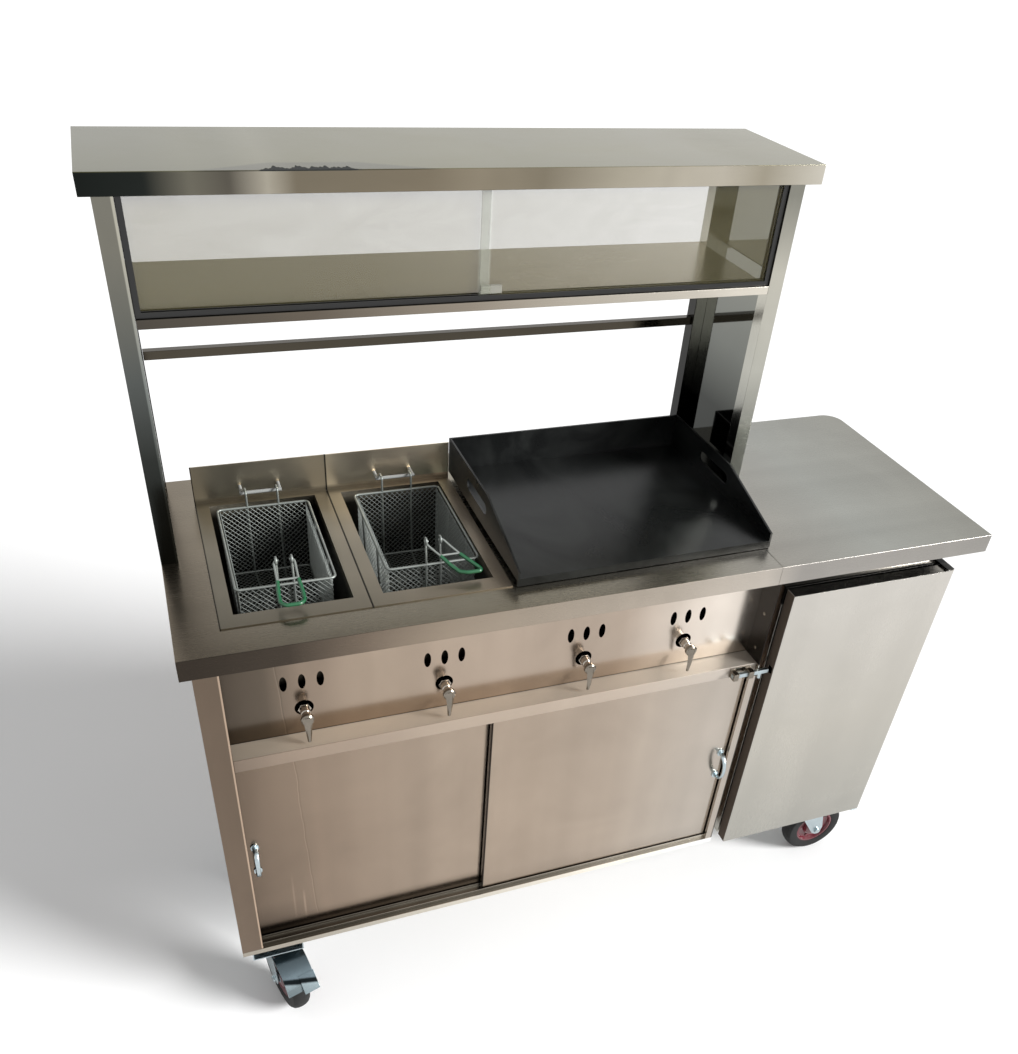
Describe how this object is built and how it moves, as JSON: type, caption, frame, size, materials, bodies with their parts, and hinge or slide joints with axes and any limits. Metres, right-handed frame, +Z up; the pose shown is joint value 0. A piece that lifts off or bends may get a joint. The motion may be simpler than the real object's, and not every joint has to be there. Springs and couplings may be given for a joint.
{
  "type": "food cart",
  "caption": "Wheeled steel food cart with drop-in fryers, a loose griddle, gas valves, sliding doors, a side cupboard and a glazed display shelf above.",
  "frame": {"origin": "middle of the base rectangle of the whole cart, on the floor under it", "axes": "+Z up, +X along the cart from the fryers to the side cupboard, +Y from the operator side with the doors towards the back"},
  "size_m": [1.2202, 0.4532, 1.277],
  "materials": {
    "body_sheet": "satin",
    "door_sheet": "satin",
    "worktop_sheet": "satin",
    "side_sheet": "satin",
    "tank_sheet": "satin",
    "polished_sheet": "polished",
    "zinc_plate": "satin",
    "valve_chrome": "polished",
    "burner_iron": "matte",
    "griddle_iron": "satin",
    "basket_wire": "satin",
    "green_sleeve": "gloss",
    "pane_glass": "polished",
    "clear_plastic": "gloss",
    "black_plastic": "matte",
    "seal_rubber": "matte",
    "tyre_rubber": "matte",
    "wheel_hub": "gloss"
  },
  "bodies": {
    "cart": {"left_side_panel": "body_sheet", "right_side_panel": "body_sheet", "back_panel": "body_sheet", "floor_deck": "body_sheet", "control_panel": "body_sheet", "door_track": "body_sheet", "joining_channel": "body_sheet", "burner_rail": "body_sheet", "door_ledge": "polished_sheet", "main_worktop": "worktop_sheet", "side_worktop": "side_sheet", "cabinet_shell": "side_sheet", "hinge_bracket_top": "zinc_plate", "hinge_bracket_bottom": "zinc_plate", "left_base_tube": "zinc_plate", "right_base_tube": "zinc_plate", "latch_base": "zinc_plate", "gas_manifold": "valve_chrome", "left_fryer_burner": "burner_iron", "right_fryer_burner": "burner_iron", "griddle_burner": "burner_iron", "left_end_frame": "polished_sheet", "right_end_frame": "polished_sheet", "left_end_panel": "polished_sheet", "right_end_panel": "polished_sheet", "canopy": "polished_sheet", "rear_crossbar": "polished_sheet", "display_shelf": "polished_sheet", "glass_frame": "black_plastic", "glass_top_track": "black_plastic", "left_fryer_tank": "tank_sheet", "right_fryer_tank": "tank_sheet"},
    "left_sliding_door": {"left_sliding_door": "door_sheet", "left_door_pull": "zinc_plate"},
    "right_sliding_door": {"right_sliding_door": "door_sheet", "right_door_pull": "zinc_plate"},
    "left_glass_pane": {"left_glass_pane": "pane_glass"},
    "right_glass_pane": {"right_glass_pane": "pane_glass", "pane_pull": "clear_plastic"},
    "cabinet_door": {"cabinet_door": "side_sheet", "door_gasket": "seal_rubber"},
    "latch_bolt": {"latch_bolt": "zinc_plate"},
    "left_basket": {"left_basket": "basket_wire"},
    "right_basket": {"right_basket": "basket_wire"},
    "left_basket_grip": {"left_basket_grip": "green_sleeve"},
    "right_basket_grip": {"right_basket_grip": "green_sleeve"},
    "griddle_plate": {"griddle_plate": "griddle_iron"},
    "front_left_brake": {"front_left_brake": "zinc_plate"},
    "valve_lever_1": {"valve_lever_1": "valve_chrome"},
    "valve_lever_2": {"valve_lever_2": "valve_chrome"},
    "valve_lever_3": {"valve_lever_3": "valve_chrome"},
    "valve_lever_4": {"valve_lever_4": "valve_chrome"},
    "front_left_fork": {"front_left_fork": "zinc_plate"},
    "front_left_wheel": {"front_left_wheel": "tyre_rubber"},
    "rear_left_fork": {"rear_left_fork": "zinc_plate"},
    "rear_left_wheel": {"rear_left_wheel": "tyre_rubber"},
    "front_right_fork": {"front_right_fork": "zinc_plate"},
    "front_right_wheel": {"front_right_wheel": "tyre_rubber"},
    "rear_right_fork": {"rear_right_fork": "zinc_plate"},
    "rear_right_wheel": {"rear_right_wheel": "tyre_rubber"}
  },
  "joints": [
    {"name": "left_door_slide", "type": "slide", "parent": "cart", "child": "left_sliding_door", "axis": [1, 0, 0], "range_m": [0, 0.34]},
    {"name": "right_door_slide", "type": "slide", "parent": "cart", "child": "right_sliding_door", "axis": [1, 0, 0], "range_m": [-0.34, 0]},
    {"name": "left_pane_slide", "type": "slide", "parent": "cart", "child": "left_glass_pane", "axis": [1, 0, 0], "range_m": [0, 0.38]},
    {"name": "right_pane_slide", "type": "slide", "parent": "cart", "child": "right_glass_pane", "axis": [1, 0, 0], "range_m": [-0.38, 0]},
    {"name": "cabinet_door_hinge", "type": "hinge", "parent": "cart", "child": "cabinet_door", "pos_m": [0.55827, -0.18991, 0.4585], "axis": [0, 0, 1], "range_deg": [0, 110]},
    {"name": "latch_bolt_slide", "type": "slide", "parent": "cart", "child": "latch_bolt", "axis": [1, 0, 0], "range_m": [0, 0.012]},
    {"name": "valve_lever_1_turn", "type": "hinge", "parent": "cart", "child": "valve_lever_1", "pos_m": [-0.44874, -0.17171, 0.6415], "axis": [0, 1, 0], "range_deg": [0, 90]},
    {"name": "valve_lever_2_turn", "type": "hinge", "parent": "cart", "child": "valve_lever_2", "pos_m": [-0.25177, -0.17171, 0.6415], "axis": [0, 1, 0], "range_deg": [0, 90]},
    {"name": "valve_lever_3_turn", "type": "hinge", "parent": "cart", "child": "valve_lever_3", "pos_m": [-0.03743, -0.17171, 0.6415], "axis": [0, 1, 0], "range_deg": [0, 90]},
    {"name": "valve_lever_4_turn", "type": "hinge", "parent": "cart", "child": "valve_lever_4", "pos_m": [0.12917, -0.17171, 0.6415], "axis": [0, 1, 0], "range_deg": [0, 90]},
    {"name": "left_basket_lift", "type": "slide", "parent": "cart", "child": "left_basket", "axis": [0, 0, 1], "range_m": [0, 0.14]},
    {"name": "left_grip_fold", "type": "hinge", "parent": "left_basket", "child": "left_basket_grip", "pos_m": [-0.44973, -0.08741, 0.841], "axis": [1, 0, 0], "range_deg": [-110, 0]},
    {"name": "right_basket_lift", "type": "slide", "parent": "cart", "child": "right_basket", "axis": [0, 0, 1], "range_m": [0, 0.14]},
    {"name": "right_grip_fold", "type": "hinge", "parent": "right_basket", "child": "right_basket_grip", "pos_m": [-0.25313, -0.08741, 0.841], "axis": [1, 0, 0], "range_deg": [-110, 0]},
    {"name": "griddle_lift", "type": "slide", "parent": "cart", "child": "griddle_plate", "axis": [0, 0, 1], "range_m": [0, 0.06]},
    {"name": "front_left_swivel", "type": "hinge", "parent": "cart", "child": "front_left_fork", "pos_m": [-0.52973, -0.11941, 0.15], "axis": [0, 0, 1], "continuous": true},
    {"name": "front_left_roll", "type": "hinge", "parent": "front_left_fork", "child": "front_left_wheel", "pos_m": [-0.51978, -0.15401, 0.0625], "axis": [0.9611, 0.2764, 0], "continuous": true},
    {"name": "front_left_brake_press", "type": "hinge", "parent": "front_left_fork", "child": "front_left_brake", "pos_m": [-0.5231, -0.14248, 0.138], "axis": [0.9611, 0.2764, 0], "range_deg": [0, 5]},
    {"name": "rear_left_swivel", "type": "hinge", "parent": "cart", "child": "rear_left_fork", "pos_m": [-0.52973, 0.14059, 0.15], "axis": [0, 0, 1], "continuous": true},
    {"name": "rear_left_roll", "type": "hinge", "parent": "rear_left_fork", "child": "rear_left_wheel", "pos_m": [-0.51739, 0.10677, 0.0625], "axis": [0.9394, 0.3429, 0], "continuous": true},
    {"name": "front_right_swivel", "type": "hinge", "parent": "cart", "child": "front_right_fork", "pos_m": [0.51227, -0.11941, 0.15], "axis": [0, 0, 1], "continuous": true},
    {"name": "front_right_roll", "type": "hinge", "parent": "front_right_fork", "child": "front_right_wheel", "pos_m": [0.54827, -0.11941, 0.0625], "axis": [0, 1, 0], "continuous": true},
    {"name": "rear_right_swivel", "type": "hinge", "parent": "cart", "child": "rear_right_fork", "pos_m": [0.51227, 0.14059, 0.15], "axis": [0, 0, 1], "continuous": true},
    {"name": "rear_right_roll", "type": "hinge", "parent": "rear_right_fork", "child": "rear_right_wheel", "pos_m": [0.54696, 0.13096, 0.0625], "axis": [0.2675, 0.9636, 0], "continuous": true}
  ]
}
